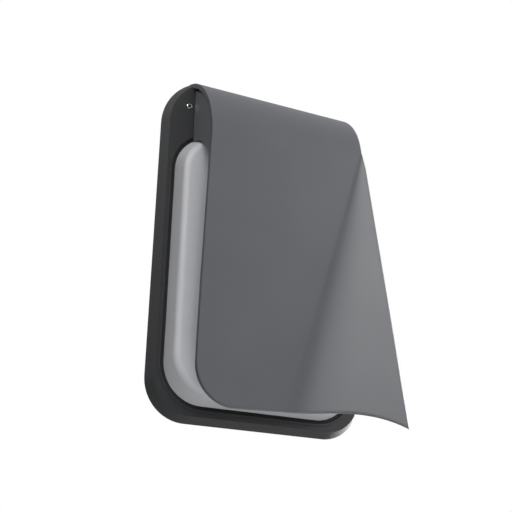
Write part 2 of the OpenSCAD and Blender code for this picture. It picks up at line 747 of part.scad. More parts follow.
// The face of the diffuser is a very slight dome.
dome_in = 26;
dome_rise = 0.6;
module diffuser() {
  n = 4 * (ring_steps + 1);
  edge_steps = 7;
  draft = 0.8;
  wall_in = diffuser_t;
  outside = concat([ring(0, diff_back)],
    [for (k = [0:edge_steps]) let (a = 90 * k / edge_steps)
      ring(draft + (diffuser_edge_r - draft) * (1 - cos(a)), edge_start + diffuser_edge_r * sin(a))],
    [ring(diffuser_edge_r + dome_in, diffuser_front + dome_rise)]);
  inside = concat([ring(wall_in, diff_back)],
    [for (k = [0:edge_steps]) let (a = 90 * k / edge_steps)
      ring(wall_in + draft + (diffuser_edge_r - wall_in - draft) * (1 - cos(a)),
        edge_start + (diffuser_edge_r - wall_in) * sin(a))]);
  shells = concat(outside, [for (k = [len(inside) - 1:-1:0]) inside[k]]);
  count = len(shells);
  lid = len(outside) - 1;
  points = [for (s = shells) each s];
  faces = [
    for (s = [0:count - 1]) if (s != lid) each let (t = (s + 1) % count)
      [for (i = [0:n - 1]) each let (k = (i + 1) % n)
        [[s * n + i, t * n + i, t * n + k], [s * n + i, t * n + k, s * n + k]]],
    [for (i = [n - 1:-1:0]) lid * n + i],
    [for (i = [0:n - 1]) (lid + 1) * n + i]];
  color([0.92, 0.92, 0.93])
  difference() {
    union() {
      polyhedron(points = points, faces = faces, convexity = 6);
      for (p = diffuser_screw_places()) rod(p.x, p.y, body_d, body_d + 8, 3.2);
    }
    for (p = diffuser_screw_places()) rod(p.x, p.y, 0, body_d + 6.6, screw_d / 2 + 0.05);
  }
}

module diffuser_screws() {
  color([0.75, 0.75, 0.75])
  for (p = diffuser_screw_places())
    screw(p.x, p.y, skin_back - 0.8, -1.8, body_d + 6.4, 2.7);
}

module led_board() {
  color([0.96, 0.96, 0.95])
  translate([0, 0, board_zc]) difference() {
    layer(body_d, board_front) round_rect(board_w, board_h, 6);
    for (p = board_screw_places())
      rod(p.x, p.y - board_zc, 0, board_front + 1, screw_d / 2 + screw_gap);
    rod(lead_x, lead_z - board_zc, 0, board_front + 1, lead_r + 0.5);
  }
}

module led_chips() {
  pitch_x = (board_w - 26) / (led_cols - 1);
  pitch_z = (board_h - 34) / (led_rows - 1);
  color([0.95, 0.9, 0.55])
  for (i = [0:led_cols - 1], j = [0:led_rows - 1])
    translate([(i - (led_cols - 1) / 2) * pitch_x, -board_front - led_t / 2,
        board_zc - 3 + (j - (led_rows - 1) / 2) * pitch_z])
      cube([led_w, led_t, led_w], center = true);
}

module board_connector() {
  color([0.95, 0.95, 0.93])
  difference() {
    translate([lead_x - plug_size.x / 2, -board_front - plug_size.y, lead_z - plug_size.z / 2])
      cube(plug_size);
    rod(lead_x, lead_z, 0, board_front + 0.8, lead_r + 0.1);
  }
}

module board_screws() {
  color([0.75, 0.75, 0.75])
  for (p = board_screw_places()) screw(p.x, p.y, board_front, 1.8, skin_back + 1, 2.75);
}

module reflector() {
  sheet = 1;
  rise = 9;
  spread = 8;
  foot_w = board_w + 3;
  foot_h = board_h + 3;
  color([0.97, 0.97, 0.97])
  translate([0, 0, board_zc]) difference() {
    leaning_slab(foot_w + 2 * sheet, foot_h + 2 * sheet, 9, body_d, body_d + rise, -spread);
    leaning_slab(foot_w - spread * 0.1, foot_h - spread * 0.1, 8, body_d - 0.1, body_d + rise + 0.1,
      -spread - 0.1);
  }
}

module locking_screw(side) {
  color([0.85, 0.85, 0.86])
  difference() {
    screw(side * lock_x, lock_z, lock_seat, lock_head_t, bracket_t + 0.4, lock_head_d / 2);
    translate([side * lock_x, -lock_seat - lock_head_t + socket_depth, lock_z]) rotate([90, 0, 0])
      cylinder(d = socket_flat / cos(30), h = socket_depth + 1, $fn = 6);
  }
}

module left_locking_screw() {
  locking_screw(-1);
}

module right_locking_screw() {
  locking_screw(1);
}

wall_bracket();
clinch_nuts();
locating_pins();
bracket_earth_screw();
housing();
wall_gasket();
head_seal();
head_casting();
shade();
shade_screws();
gear_cover();
gear_cover_seal();
head_screws();
cable_grommet();
driver();
driver_screws();
terminal_block();
terminal_screws();
supply_leads();
earth_lead();
earth_screw();
led_lead();
diffuser_seal();
diffuser();
diffuser_screws();
led_board();
led_chips();
board_connector();
board_screws();
reflector();
left_locking_screw();
right_locking_screw();
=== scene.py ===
"""Looks of the outdoor wall light: a cast housing, an opal diffuser and a thick hanging shade.

Everything is in metres in the frame of the CAD model: +Z up, -Y out of the wall.
"""
import math

import bmesh
import bpy
from mathutils import Matrix, Vector


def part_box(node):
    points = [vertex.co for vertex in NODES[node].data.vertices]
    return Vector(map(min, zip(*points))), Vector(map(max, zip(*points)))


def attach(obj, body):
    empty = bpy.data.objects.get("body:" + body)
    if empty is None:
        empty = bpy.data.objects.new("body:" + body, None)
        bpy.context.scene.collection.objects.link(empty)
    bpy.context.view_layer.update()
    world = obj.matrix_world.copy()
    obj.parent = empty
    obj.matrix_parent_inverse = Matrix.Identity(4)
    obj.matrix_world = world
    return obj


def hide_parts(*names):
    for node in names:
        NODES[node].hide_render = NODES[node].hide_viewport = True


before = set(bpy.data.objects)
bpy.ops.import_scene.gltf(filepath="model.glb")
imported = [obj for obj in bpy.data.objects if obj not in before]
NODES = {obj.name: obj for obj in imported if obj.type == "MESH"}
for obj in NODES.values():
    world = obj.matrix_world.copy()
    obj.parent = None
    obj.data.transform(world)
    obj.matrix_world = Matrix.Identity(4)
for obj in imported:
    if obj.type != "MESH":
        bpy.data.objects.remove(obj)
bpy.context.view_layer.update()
MM = 0.001

# Sizes shared with the CAD, in millimetres
HALF_H = 122.0
HALF_HEAD = 60.2
ROLL_R, ROLL_BACK, ROLL_Z, ROLL_WAIST = 61.2, 14.0, 65.4, 2.0
SHADE_T, SPREAD, LIFT, CLIMB = 3.5, 2.2, 4.6, 4.2
CORNER_R, FLARE_OUT, TIP_DROP, FLARE_W = 27.0, 42.0, 13.2, 64.0
SHADE_REAR, FLARE_RISE, TIP_W = 1.0, 14.0, 44.0
OPAL_HALF_W, OPAL_LOW, OPAL_TOP, OPAL_CORNER_R = 70.0, -110.8, 81.0, 27.5
OPAL_BACK, OPAL_FRONT, OPAL_EDGE_R, OPAL_T = 8.3, 26.5, 5.0, 2.4
OPAL_TOP_LEAN, OPAL_LOW_LEAN = 7.0, 4.0
OPAL_DRAFT, OPAL_DOME, OPAL_DOME_IN = 0.8, 0.6, 26.0
LOCK_X, LOCK_Z, LOCK_HEAD_R, LOCK_HEAD_T = 61.8, 103.6, 2.1, 1.6
LOCK_SEAT, LOCK_TIP, SHANK_R = 7.6, 2.4, 1.5
SOCKET_FLAT, SOCKET_DEPTH = 2.4, 1.1


# Helpers for geometry trees
class Field:
    """A value in a geometry tree that can be added, multiplied and so on like a number."""

    def __init__(self, tree, socket):
        self.tree, self.socket = tree, socket

    def _math(self, operation, *values):
        node = self.tree.nodes.new("ShaderNodeMath")
        node.operation = operation
        for place, value in enumerate(values):
            if isinstance(value, Field):
                self.tree.links.new(value.socket, node.inputs[place])
            else:
                node.inputs[place].default_value = value
        return Field(self.tree, node.outputs[0])

    def __add__(self, other):
        return self._math("ADD", self, other)

    __radd__ = __add__

    def __mul__(self, other):
        return self._math("MULTIPLY", self, other)

    __rmul__ = __mul__

    def __sub__(self, other):
        return self._math("SUBTRACT", self, other)

    def __rsub__(self, other):
        return self._math("SUBTRACT", other, self)

    def __truediv__(self, other):
        return self._math("DIVIDE", self, other)

    def __pow__(self, other):
        return self._math("POWER", self, other)

    def __neg__(self):
        return self._math("MULTIPLY", self, -1.0)

    def at_least(self, other):
        return self._math("MAXIMUM", self, other)

    def at_most(self, other):
        return self._math("MINIMUM", self, other)

    def below(self, other):
        return self._math("LESS_THAN", self, other)

    def sine(self):
        return self._math("SINE", self)

    def cosine(self):
        return self._math("COSINE", self)

    def arc_cosine(self):
        return self._math("ARCCOSINE", self)

    def root(self):
        return self._math("SQRT", self)


def choose(test, yes, no):
    """yes where test is 1 and no where it is 0."""
    return test * yes + (1.0 - test) * no


def eased(t):
    """A rise from 0 to 1 that starts and ends gently."""
    return t * t * (3.0 - 2.0 * t)


class GeometryTree:
    """A geometry node tree with named number inputs, and short ways to add and link nodes."""

    def __init__(self, name, sizes):
        self.tree = bpy.data.node_groups.new(name, "GeometryNodeTree")
        face = self.tree.interface
        face.new_socket(name="Geometry", in_out="INPUT", socket_type="NodeSocketGeometry")
        for label, value in sizes.items():
            kind = "NodeSocketInt" if isinstance(value, int) else "NodeSocketFloat"
            face.new_socket(name=label, in_out="INPUT", socket_type=kind).default_value = value
        face.new_socket(name="Geometry", in_out="OUTPUT", socket_type="NodeSocketGeometry")
        self.start = self.tree.nodes.new("NodeGroupInput")
        self.end = self.tree.nodes.new("NodeGroupOutput")

    def size(self, label):
        return Field(self.tree, self.start.outputs[label])

    def add(self, kind, links=None, **settings):
        node = self.tree.nodes.new(kind)
        for label, value in settings.items():
            setattr(node, label, value)
        for label, value in (links or {}).items():
            if isinstance(value, Field):
                value = value.socket
            if isinstance(value, bpy.types.NodeSocket):
                self.tree.links.new(value, node.inputs[label])
            else:
                node.inputs[label].default_value = value
        return node

    def xyz(self, x, y, z):
        return self.add("ShaderNodeCombineXYZ", {"X": x, "Y": y, "Z": z}).outputs[0]

    def moved(self, geometry, shift=(0.0, 0.0, 0.0), turn=(0.0, 0.0, 0.0)):
        """A geometry turned about the origin and then shifted."""
        links = {"Geometry": geometry, "Translation": self.xyz(*shift), "Rotation": self.xyz(*turn)}
        return self.add("GeometryNodeTransform", links).outputs[0]

    def joined(self, *geometries):
        both = self.add("GeometryNodeJoinGeometry")
        for geometry in geometries:
            self.tree.links.new(geometry, both.inputs[0])
        return both.outputs[0]

    def on_corners(self, mesh, piece):
        """An instance of a piece on each corner of a mesh."""
        spots = self.add("GeometryNodeMeshToPoints", {"Mesh": mesh}).outputs[0]
        return self.add("GeometryNodeInstanceOnPoints", {"Points": spots, "Instance": piece}).outputs[0]

    def finish(self, geometry, material):
        """Ends the tree: instances become real and wear the material."""
        real = self.add("GeometryNodeRealizeInstances", {"Geometry": geometry}).outputs[0]
        dressed = self.add("GeometryNodeSetMaterial", {"Geometry": real, "Material": material})
        self.tree.links.new(dressed.outputs[0], self.end.inputs[0])
        return self

    def make(self, name, values=None, carrier=None):
        """Runs the tree on an object and returns the result as a plain mesh object."""
        holder = bpy.data.objects.new(name + "_holder", carrier or bpy.data.meshes.new(name + "_seed"))
        bpy.context.scene.collection.objects.link(holder)
        change = holder.modifiers.new("shape", "NODES")
        change.node_group = self.tree
        for item in self.tree.interface.items_tree:
            if item.in_out == "INPUT" and values and item.name in values:
                change[item.identifier] = values[item.name]
        bpy.context.view_layer.update()
        ready = holder.evaluated_get(bpy.context.evaluated_depsgraph_get())
        mesh = bpy.data.meshes.new_from_object(ready)
        mesh.name = name
        piece = bpy.data.objects.new(name, mesh)
        bpy.context.scene.collection.objects.link(piece)
        holder.modifiers.remove(change)
        bpy.data.objects.remove(holder)
        return piece


# Helpers for meshes
def merged(mesh, distance=2e-6):
    """A bmesh of a mesh whose loose corners are joined."""
    bm = bmesh.new()
    bm.from_mesh(mesh)
    bmesh.ops.remove_doubles(bm, verts=bm.verts, dist=distance)
    return bm


def piece_from(bm, name):
    """Turns a bmesh into an object of the scene."""
    mesh = bpy.data.meshes.new(name)
    bm.to_mesh(mesh)
    bm.free()
    piece = bpy.data.objects.new(name, mesh)
    bpy.context.scene.collection.objects.link(piece)
    return piece


def apply_modifiers(piece):
    """Turns a piece with modifiers into a plain mesh."""
    bpy.context.view_layer.update()
    ready = piece.evaluated_get(bpy.context.evaluated_depsgraph_get())
    mesh = bpy.data.meshes.new_from_object(ready)
    old = piece.data
    piece.modifiers.clear()
    piece.data = mesh
    mesh.name = piece.name
    bpy.data.meshes.remove(old)


def smooth(piece, sharp_angle):
    """Smooth shading that keeps real edges crisp."""
    piece.data.shade_smooth()
    piece.data.set_sharp_from_angle(angle=math.radians(sharp_angle))


def flatten_flats(piece):
    """Keeps large flat faces flat beside their rounded edges."""
    weighted = piece.modifiers.new("weighted normals", "WEIGHTED_NORMAL")
    weighted.keep_sharp = True
    weighted.weight = 90
    apply_modifiers(piece)


def round_edges(piece, width, angle, segments=3):
    """Rounds the edges of a piece that are sharper than the angle. The width is in millimetres."""
    bevel = piece.modifiers.new("round edges", "BEVEL")
    bevel.width = width * MM
    bevel.segments = segments
    bevel.limit_method = "ANGLE"
    bevel.angle_limit = math.radians(angle)
    bevel.use_clamp_overlap = True
    apply_modifiers(piece)


def corners(spots):
    """The low and the high corner of the box round some points."""
    return [Vector([pick(spot[axis] for spot in spots) for axis in range(3)]) for pick in (min, max)]


def hand_over(piece, node, body):
    """Puts a piece in the place of a CAD node and its moving body."""
    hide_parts(node)
    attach(piece, body)


# Helpers for shader trees
def node_in(tree, kind, links=None, **settings):
    """Adds a shader node, sets its properties and fills or links its inputs."""
    node = tree.nodes.new(kind)
    for label, value in settings.items():
        setattr(node, label, value)
    for label, value in (links or {}).items():
        if isinstance(value, bpy.types.NodeSocket):
            tree.links.new(value, node.inputs[label])
        else:
            node.inputs[label].default_value = value
    return node


def maths(tree, operation, *values):
    """One step of arithmetic on sockets or numbers."""
    return node_in(tree, "ShaderNodeMath", dict(enumerate(values)), operation=operation).outputs[0]


def scaled(tree, colour, factor):
    """A colour, as a socket or three numbers, made lighter or darker by a factor."""
    links = {0: colour, "Scale": factor}
    return node_in(tree, "ShaderNodeVectorMath", links, operation="SCALE").outputs[0]


def noise(tree, place, scale, detail=2.0, roughness=0.5):
    """A cloudy value between 0 and 1."""
    links = {"Vector": place, "Scale": scale, "Detail": detail, "Roughness": roughness}
    return node_in(tree, "ShaderNodeTexNoise", links).outputs["Fac"]


def mapped(tree, value, source, target):
    """A value taken from one range (low, high) to another."""
    labels = ("From Min", "From Max", "To Min", "To Max")
    links = {"Value": value, **dict(zip(labels, (*source, *target)))}
    return node_in(tree, "ShaderNodeMapRange", links).outputs[0]


def blended(tree, first, second, share):
    """A mix of two values, with the share of the second one."""
    return node_in(tree, "ShaderNodeMix", {"Factor": share, "A": first, "B": second}).outputs[0]


# Patterns that the finishes share
def open_pattern(name, grain, speckle, waviness):
    """An empty pattern group and its inputs."""
    group = bpy.data.node_groups.new(name, "ShaderNodeTree")
    face = group.interface
    face.new_socket(name="Place", in_out="INPUT", socket_type="NodeSocketVector")
    for label, value in (("Grain", grain), ("Speckle", speckle), ("Waviness", waviness)):
        face.new_socket(name=label, in_out="INPUT", socket_type="NodeSocketFloat").default_value = value
    for label in ("Height", "Shade", "Roughness"):
        face.new_socket(name=label, in_out="OUTPUT", socket_type="NodeSocketFloat")
    return group, group.nodes.new("NodeGroupInput").outputs


def close_pattern(group, height, shade, rough):
    """Sends a pattern's relief, shade and change of roughness out of its group."""
    end = group.nodes.new("NodeGroupOutput")
    for label, value in (("Height", height), ("Shade", shade), ("Roughness", rough)):
        group.links.new(value, end.inputs[label])
    return group


def powder_grain():
    """The fine orange peel and speckle of a powder coat."""
    group, given = open_pattern("powder grain", grain=900.0, speckle=0.1, waviness=0.3)
    fine = noise(group, given["Place"], given["Grain"], detail=3.0, roughness=0.6)
    cells = {"Vector": given["Place"], "Scale": given["Grain"], "Smoothness": 1.0}
    peel = node_in(group, "ShaderNodeTexVoronoi", cells, feature="SMOOTH_F1").outputs["Distance"]
    broad = noise(group, given["Place"], 28.0)
    speck = maths(group, "MULTIPLY", maths(group, "SUBTRACT", fine, 0.5), given["Speckle"])
    cloud = mapped(group, broad, (0.3, 0.7), (-0.02, 0.02))
    return close_pattern(
        group,
        height=blended(group, fine, peel, given["Waviness"]),
        shade=maths(group, "ADD", speck, cloud),
        rough=mapped(group, broad, (0.25, 0.75), (-0.03, 0.03)),
    )


def brushed_lines():
    """Fine turned or rolled lines of bare metal, long in one direction."""
    group, given = open_pattern("brushed lines", grain=600.0, speckle=0.1, waviness=0.3)
    stretch = {0: given["Place"], 1: (0.06, 1.0, 1.0)}
    drawn = node_in(group, "ShaderNodeVectorMath", stretch, operation="MULTIPLY").outputs[0]
    lines = noise(group, drawn, given["Grain"], detail=4.0)
    smear = noise(group, given["Place"], 60.0, detail=3.0)
    return close_pattern(
        group,
        height=blended(group, lines, smear, given["Waviness"]),
        shade=maths(group, "MULTIPLY", maths(group, "SUBTRACT", lines, 0.5), given["Speckle"]),
        rough=mapped(group, smear, (0.3, 0.7), (-0.05, 0.09)),
    )


def moulded_skin():
    """The even, slightly cloudy skin of moulded plastic or rubber, with a trace of dust."""
    group, given = open_pattern("moulded skin", grain=1500.0, speckle=0.06, waviness=0.2)
    fine = noise(group, given["Place"], given["Grain"])
    cloud = noise(group, given["Place"], 40.0, detail=3.0)
    cells = {"Vector": given["Place"], "Scale": given["Grain"]}
    dimples = node_in(group, "ShaderNodeTexVoronoi", cells).outputs["Distance"]
    dust = maths(group, "SUBTRACT", maths(group, "ADD", fine, cloud), 1.0)
    return close_pattern(
        group,
        height=blended(group, fine, dimples, given["Waviness"]),
        shade=maths(group, "MULTIPLY", dust, given["Speckle"]),
        rough=mapped(group, cloud, (0.3, 0.7), (-0.03, 0.06)),
    )


POWDER = powder_grain()
BRUSHED = brushed_lines()
MOULDED = moulded_skin()


# Finishes
def new_material(name):
    """An empty material with its shader and a socket for the place on the piece."""
    material = bpy.data.materials.new(name)
    material.use_nodes = True
    tree = material.node_tree
    tree.nodes.clear()
    shader = tree.nodes.new("ShaderNodeBsdfPrincipled")
    out = tree.nodes.new("ShaderNodeOutputMaterial")
    tree.links.new(shader.outputs[0], out.inputs["Surface"])
    place = tree.nodes.new("ShaderNodeTexCoord")
    return material, tree, shader, place.outputs["Object"]


def relief(tree, shader, height, strength, depth_mm):
    """Raises the surface of a shader by a height."""
    links = {"Height": height, "Strength": strength, "Distance": depth_mm * MM}
    bump = node_in(tree, "ShaderNodeBump", links)
    tree.links.new(bump.outputs[0], shader.inputs["Normal"])


def surface(
    name, colour, pattern, roughness,
    metallic=0.0, grain=900.0, bump=0.12, speckle=0.12, relief_mm=0.2, gloss=0.5,
):
    """A finish: one colour, worked over by the shade, roughness and relief of a pattern."""
    material, tree, shader, place = new_material(name)
    worked = node_in(tree, "ShaderNodeGroup", node_tree=pattern)
    tree.links.new(place, worked.inputs["Place"])
    worked.inputs["Grain"].default_value = grain
    worked.inputs["Speckle"].default_value = speckle
    paint = scaled(tree, colour, maths(tree, "ADD", worked.outputs["Shade"], 1.0))
    tree.links.new(paint, shader.inputs["Base Color"])
    rough = maths(tree, "ADD", worked.outputs["Roughness"], roughness)
    tree.links.new(rough, shader.inputs["Roughness"])
    relief(tree, shader, worked.outputs["Height"], bump, relief_mm)
    shader.inputs["Metallic"].default_value = metallic
    shader.inputs["Specular IOR Level"].default_value = gloss
    return material


def powder_coat(name, colour, roughness, grain=900.0, bump=0.12, gloss=0.5):
    """Powder coat on a casting."""
    return surface(name, colour, POWDER, roughness, grain=grain, bump=bump, gloss=gloss)


def bare_metal(name, colour, roughness=0.32):
    """Zinc plated, stainless or turned metal."""
    return surface(
        name, colour, BRUSHED, roughness,
        metallic=1.0, grain=700.0, bump=0.08, speckle=0.25, relief_mm=0.05,
    )


def moulding(name, colour, roughness, bump=0.06, speckle=0.08):
    """Moulded plastic or rubber."""
    return surface(
        name, colour, MOULDED, roughness,
        grain=1500.0, bump=bump, speckle=speckle, relief_mm=0.05,
    )


def socket_head(name, colour):
    """Bright turned steel of both locking screws, with painted shade that darkens the inside of their
    sockets.
    """
    socket_shade_edge = (SOCKET_FLAT / 2 - 0.05, SOCKET_FLAT / 2 + 0.1)
    material = bare_metal(name, colour, roughness=0.22)
    tree = material.node_tree
    shader = next(node for node in tree.nodes if node.type == "BSDF_PRINCIPLED")
    place = next(node for node in tree.nodes if node.type == "TEX_COORD").outputs["Object"]
    spot = node_in(tree, "ShaderNodeSeparateXYZ", {"Vector": place}).outputs
    off_x = maths(tree, "SUBTRACT", maths(tree, "ABSOLUTE", spot["X"]), LOCK_X * MM)
    off_z = maths(tree, "SUBTRACT", spot["Z"], LOCK_Z * MM)
    flat = node_in(tree, "ShaderNodeCombineXYZ", {"X": off_x, "Y": off_z}).outputs[0]
    away = node_in(tree, "ShaderNodeVectorMath", {0: flat}, operation="LENGTH").outputs["Value"]
    # Painted shade: inside the socket's radius the colour falls nearly to black.
    socket_shade = mapped(tree, away, (edge * MM for edge in socket_shade_edge), (0.02, 1.0))
    unshaded_colour = shader.inputs["Base Color"].links[0].from_socket
    tree.links.new(scaled(tree, unshaded_colour, socket_shade), shader.inputs["Base Color"])
    return material


def two_colour_sleeve(name, first, second, middle_z):
    """Lead insulation whose upper half has another colour than its lower half."""
    material, tree, shader, place = new_material(name)
    spot = node_in(tree, "ShaderNodeSeparateXYZ", {"Vector": place}).outputs
    upper = maths(tree, "GREATER_THAN", spot["Z"], middle_z)
    paint = node_in(tree, "ShaderNodeMix", {"Factor": upper}, data_type="RGBA")
    paint.inputs[6].default_value = first
    paint.inputs[7].default_value = second
    tree.links.new(paint.outputs[2], shader.inputs["Base Color"])
    rough = mapped(tree, noise(tree, place, 200.0), (0.0, 1.0), (0.35, 0.45))
    tree.links.new(rough, shader.inputs["Roughness"])
    return material


def circuit_board(name, colour):
    """White solder mask with the faint relief of wide tracks under it."""
    material, tree, shader, place = new_material(name)
    turned = node_in(tree, "ShaderNodeMapping", {"Vector": place})
    turned.inputs["Rotation"].default_value = (math.pi / 2, 0.0, 0.0)
    layout = {"Vector": turned.outputs[0], "Scale": 26.0, "Mortar Size": 0.03}
    tracks = node_in(tree, "ShaderNodeTexBrick", layout)
    for label, share in (("Color1", 1.0), ("Color2", 0.97), ("Mortar", 0.82)):
        tracks.inputs[label].default_value = (*(share * part for part in colour), 1.0)
    tree.links.new(tracks.outputs["Color"], shader.inputs["Base Color"])
    relief(tree, shader, tracks.outputs["Fac"], 0.2, 0.05)
    shader.inputs["Roughness"].default_value = 0.4
    return material


MATERIALS = {
    "shade": powder_coat(
        "satin anthracite shade", (0.088, 0.091, 0.101), roughness=0.44, grain=1100.0, bump=0.10,
    ),
    "housing": powder_coat(
        "textured anthracite housing", (0.036, 0.037, 0.039), roughness=0.55, bump=0.2, gloss=0.28,
    ),
    # Painted light: the head is the same anthracite coat, painted much lighter so that its left-facing
    # cheeks look lit.
    "head": powder_coat("anthracite head painted lighter", (0.130, 0.134, 0.144), roughness=0.46, bump=0.16),
    "opal": moulding("opal polycarbonate", (0.62, 0.625, 0.655), roughness=0.6, speckle=0.03),
    "lock": socket_head("bright turned steel", (0.80, 0.80, 0.80)),
    "screw": bare_metal("stainless steel", (0.62, 0.62, 0.61)),
    "zinc": bare_metal("zinc plated sheet", (0.26, 0.265, 0.27), roughness=0.55),
    "zinc nut": bare_metal("zinc plated nut", (0.40, 0.40, 0.39), roughness=0.4),
    "aluminium": bare_metal("rolled aluminium", (0.32, 0.325, 0.33), roughness=0.5),
    "brass": bare_metal("turned brass", (0.78, 0.62, 0.30), roughness=0.25),
    "seal": moulding("black rubber", (0.010, 0.010, 0.010), roughness=0.85, bump=0.15),
    "foam": moulding(
        "black closed cell foam", (0.028, 0.028, 0.028), roughness=0.85, bump=0.6, speckle=0.3,
    ),
    "grommet": moulding("moulded black rubber", (0.02, 0.02, 0.02), roughness=0.55, bump=0.12),
    "white plastic": moulding("white moulded plastic", (0.82, 0.82, 0.80), roughness=0.45),
    "nylon": moulding("natural nylon", (0.85, 0.84, 0.80), roughness=0.35),
    "white film": moulding("white reflector film", (0.90, 0.90, 0.90), roughness=0.7, bump=0.1),
    "phosphor": moulding("phosphor resin", (0.90, 0.72, 0.18), roughness=0.4, speckle=0.3),
    "brown sleeve": moulding("brown lead sleeve", (0.16, 0.07, 0.03), roughness=0.4),
    "white sleeve": moulding("white lead sleeve", (0.78, 0.78, 0.76), roughness=0.4),
    "board": circuit_board("white circuit board", (0.86, 0.86, 0.85)),
}

# The finish of each CAD node, which the piece that replaces a node wears too.
FINISHES = {
    "wall_gasket": "foam", "head_seal": "seal", "diffuser_seal": "seal",
    "clinch_nuts": "zinc nut", "locating_pins": "zinc nut", "bracket_earth_screw": "brass",
    "gear_cover": "aluminium", "gear_cover_seal": "foam", "cable_grommet": "grommet",
    "driver": "white plastic", "terminal_block": "nylon", "terminal_screws": "brass",
    "supply_leads": "brown sleeve", "earth_screw": "brass", "led_lead": "white sleeve",
    "led_board": "board", "board_connector": "nylon", "reflector": "white film",
    "shade": "shade", "housing": "housing", "head_casting": "head", "diffuser": "opal",
    "wall_bracket": "zinc", "led_chips": "phosphor",
    "shade_screws": "screw", "head_screws": "screw", "driver_screws": "screw",
    "diffuser_screws": "screw", "board_screws": "screw",
    "left_locking_screw": "lock", "right_locking_screw": "lock",
}


def dress(node, material):
    """Gives a CAD node its finish."""
    for place in NODES[node].material_slots:
        place.material = material


def dress_nodes():
    for node, finish in FINISHES.items():
        dress(node, MATERIALS[finish])
    low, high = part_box("earth_lead")
    middle_z = (low[2] + high[2]) / 2
    green, yellow = (0.10, 0.30, 0.05, 1.0), (0.75, 0.62, 0.06, 1.0)
    dress("earth_lead", two_colour_sleeve("green and yellow sleeve", green, yellow, middle_z))


# Camera, floor and light
def place_camera():
    """The photograph's viewpoint: below and to the left of the light, looking up at it."""
    eye = Vector((-288.6591, -609.0394, -239.6078)) * MM
    turn, tilt, roll = (math.radians(angle) for angle in (25.20957, 19.84267, 1.65699))
    forward = Vector((math.sin(turn) * math.cos(tilt), math.cos(turn) * math.cos(tilt), math.sin(tilt)))
    right = Vector((math.cos(turn), -math.sin(turn), 0.0))
    up = right.cross(forward)
    across = right * math.cos(roll) + up * math.sin(roll)
    upward = -right * math.sin(roll) + up * math.cos(roll)
    camera = bpy.data.objects.new("camera", bpy.data.cameras.new("camera"))
    facing = Matrix((across, upward, -forward)).transposed().to_4x4()
    camera.matrix_world = Matrix.Translation(eye) @ facing
    camera.data.sensor_width = 36.0
    camera.data.lens = 70.63875
    camera.data.clip_start = 0.01
    bpy.context.scene.collection.objects.link(camera)
    bpy.context.scene.camera = camera


def lamp(name, place, aim, size, power, lights=True, reflects=True):
    """A square softbox. It can be kept out of diffuse light or out of reflections."""
    data = bpy.data.lights.new(name, "AREA")
    data.size = size
    data.energy = power
    light = bpy.data.objects.new(name, data)
    look = (Vector(aim) - Vector(place)).to_track_quat("-Z", "Y")
    light.matrix_world = Matrix.Translation(place) @ look.to_matrix().to_4x4()
    light.visible_diffuse = lights
    light.visible_glossy = reflects
    bpy.context.scene.collection.objects.link(light)


def build_world():
    """Plain white to the camera. Its light is stronger from above and from the right."""
    from_right, from_above, middle, darkest = 0.30, 0.30, 0.32, 0.07
    world = bpy.data.worlds.new("studio")
    world.use_nodes = True
    bpy.context.scene.world = world
    tree = world.node_tree
    tree.nodes.clear()
    out = tree.nodes.new("ShaderNodeOutputWorld")
    direction = tree.nodes.new("ShaderNodeTexCoord").outputs["Generated"]
    way = node_in(tree, "ShaderNodeSeparateXYZ", {"Vector": direction}).outputs
    aside = maths(tree, "MULTIPLY", way["X"], from_right)
    above = maths(tree, "MULTIPLY", way["Z"], from_above)
    level = maths(tree, "ADD", maths(tree, "ADD", aside, above), middle)
    level = maths(tree, "MAXIMUM", level, darkest)
    plain = (1.0, 1.0, 1.0, 1.0)
    soft = node_in(tree, "ShaderNodeBackground", {"Color": plain, "Strength": level})
    white = node_in(tree, "ShaderNodeBackground", {"Color": plain, "Strength": 1.0})
    to_camera = tree.nodes.new("ShaderNodeLightPath").outputs["Is Camera Ray"]
    mix = node_in(tree, "ShaderNodeMixShader", {0: to_camera, 1: soft.outputs[0], 2: white.outputs[0]})
    tree.links.new(mix.outputs[0], out.inputs["Surface"])


def build_floor():
    """A plain pale floor, well below the light."""
    floor_z = -1.3
    bpy.ops.mesh.primitive_plane_add(size=8.0, location=(0.0, 0.0, 0.0))
    floor = bpy.context.active_object
    floor.name = "floor"
    floor.data.transform(Matrix.Translation((0.0, 0.0, floor_z)))
    material, tree, shader, place = new_material("pale floor")
    tone = mapped(tree, noise(tree, place, 3.0), (0.0, 1.0), (0.80, 0.84))
    paint = node_in(tree, "ShaderNodeCombineColor", {"Red": tone, "Green": tone, "Blue": tone})
    tree.links.new(paint.outputs[0], shader.inputs["Base Color"])
    shader.inputs["Roughness"].default_value = 0.9
    floor.data.materials.append(material)
    floor.visible_diffuse = False


def build_lamps():
    """Soft lamps for diffuse light, cards that only show in reflections, and one lamp that is both."""
    middle, shade_side = (0.0, -0.03, 0.0), (0.06, -0.05, 0.03)
    lamp("high front", (-0.50, -0.85, 0.95), middle, 0.8, 5.6, reflects=False)
    lamp("near right", (0.40, -0.45, 0.30), shade_side, 0.3, 1.8, reflects=False)
    lamp("left fill", (-0.85, -1.2, -0.40), middle, 0.8, 2.8, reflects=False)
    lamp("low fill", (-0.20, -0.7, -0.90), middle, 0.6, 3.6, reflects=False)
    lamp("upper left card", (-1.1, -0.5, 1.0), middle, 1.1, 25.0, lights=False)
    lamp("left card", (-0.60, -1.20, 0.45), middle, 0.5, 4.0, lights=False)
    lamp("right card", (1.15, -0.65, 0.45), middle, 0.6, 9.0, lights=False)
    lamp("right behind", (1.2, 0.68, -0.2), middle, 1.1, 24.0)


